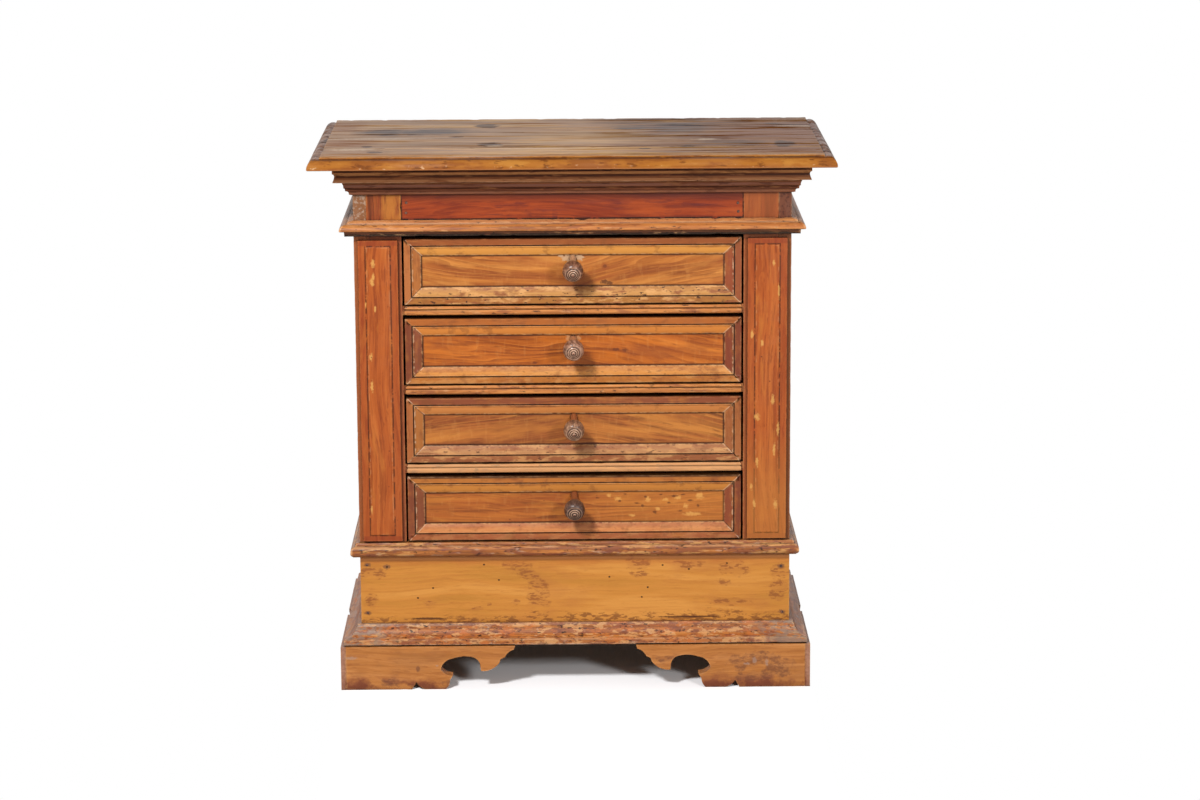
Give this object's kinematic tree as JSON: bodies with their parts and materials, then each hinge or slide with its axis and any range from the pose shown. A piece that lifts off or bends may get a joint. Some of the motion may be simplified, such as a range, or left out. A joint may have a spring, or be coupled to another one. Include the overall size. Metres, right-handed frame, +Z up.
{
  "type": "small chest of drawers",
  "caption": "Small chest with full-width sliding drawers between planted pilasters, under a moulded top and cornice, on a plinth with scrolled bracket feet.",
  "frame": {"origin": "on the floor, under the middle of the bounding box", "axes": "+Z up, -Y out of the drawer fronts, +X to the right of a viewer facing them"},
  "size_m": [0.665, 0.37, 0.699],
  "materials": {
    "top_walnut": "old wax polish, worn",
    "cornice_walnut": "old wax polish, worn",
    "frieze_walnut": "old wax polish, worn",
    "pilaster_walnut": "old wax polish, worn",
    "frame_walnut": "old wax polish, worn",
    "side_walnut": "old wax polish, worn",
    "moulding_walnut": "old wax polish, worn",
    "base_walnut": "old wax polish, worn",
    "plinth_walnut": "old wax polish, worn",
    "foot_walnut": "old wax polish, worn",
    "drawer_front_walnut": "old wax polish, worn",
    "drawer_moulding_walnut": "old wax polish, worn",
    "turned_knob_wood": "turned, worn and greyed",
    "carcass_poplar": "bare sawn and planed wood"
  },
  "bodies": {
    "carcass": {"back_boards": "carcass_poplar", "base_moulding_front": "base_walnut", "base_moulding_left": "base_walnut", "base_moulding_right": "base_walnut", "bed_moulding_front": "cornice_walnut", "bed_moulding_left": "cornice_walnut", "bed_moulding_right": "cornice_walnut", "bottom_board": "carcass_poplar", "cornice_front": "cornice_walnut", "cornice_left": "cornice_walnut", "cornice_right": "cornice_walnut", "drawer_guides": "carcass_poplar", "drawer_rails": "frame_walnut", "drawer_runners": "carcass_poplar", "foot_blocks": "carcass_poplar", "frieze_board": "frieze_walnut", "frieze_moulding_front": "moulding_walnut", "frieze_moulding_left": "moulding_walnut", "frieze_moulding_right": "moulding_walnut", "front_left_foot": "foot_walnut", "front_right_foot": "foot_walnut", "left_pilaster": "pilaster_walnut", "left_side": "side_walnut", "left_side_feet": "foot_walnut", "left_stile": "frame_walnut", "plinth_board": "plinth_walnut", "rail_mouldings": "moulding_walnut", "right_pilaster": "pilaster_walnut", "right_side": "side_walnut", "right_side_feet": "foot_walnut", "right_stile": "frame_walnut", "top_front_plank": "top_walnut", "top_rear_plank": "top_walnut", "waist_moulding_front": "moulding_walnut", "waist_moulding_left": "moulding_walnut", "waist_moulding_right": "moulding_walnut"},
    "drawer_1": {"drawer_1_back": "carcass_poplar", "drawer_1_bottom": "carcass_poplar", "drawer_1_front": "drawer_front_walnut", "drawer_1_knob": "turned_knob_wood", "drawer_1_moulding": "drawer_moulding_walnut", "drawer_1_sides": "carcass_poplar"},
    "drawer_2": {"drawer_2_back": "carcass_poplar", "drawer_2_bottom": "carcass_poplar", "drawer_2_front": "drawer_front_walnut", "drawer_2_knob": "turned_knob_wood", "drawer_2_moulding": "drawer_moulding_walnut", "drawer_2_sides": "carcass_poplar"},
    "drawer_3": {"drawer_3_back": "carcass_poplar", "drawer_3_bottom": "carcass_poplar", "drawer_3_front": "drawer_front_walnut", "drawer_3_knob": "turned_knob_wood", "drawer_3_moulding": "drawer_moulding_walnut", "drawer_3_sides": "carcass_poplar"},
    "drawer_4": {"drawer_4_back": "carcass_poplar", "drawer_4_bottom": "carcass_poplar", "drawer_4_front": "drawer_front_walnut", "drawer_4_knob": "turned_knob_wood", "drawer_4_moulding": "drawer_moulding_walnut", "drawer_4_sides": "carcass_poplar"}
  },
  "joints": [
    {"name": "drawer_1_slide", "type": "slide", "parent": "carcass", "child": "drawer_1", "axis": [0, -1, 0], "range_m": [0, 0.24]},
    {"name": "drawer_2_slide", "type": "slide", "parent": "carcass", "child": "drawer_2", "axis": [0, -1, 0], "range_m": [0, 0.24]},
    {"name": "drawer_3_slide", "type": "slide", "parent": "carcass", "child": "drawer_3", "axis": [0, -1, 0], "range_m": [0, 0.24]},
    {"name": "drawer_4_slide", "type": "slide", "parent": "carcass", "child": "drawer_4", "axis": [0, -1, 0], "range_m": [0, 0.24]}
  ]
}
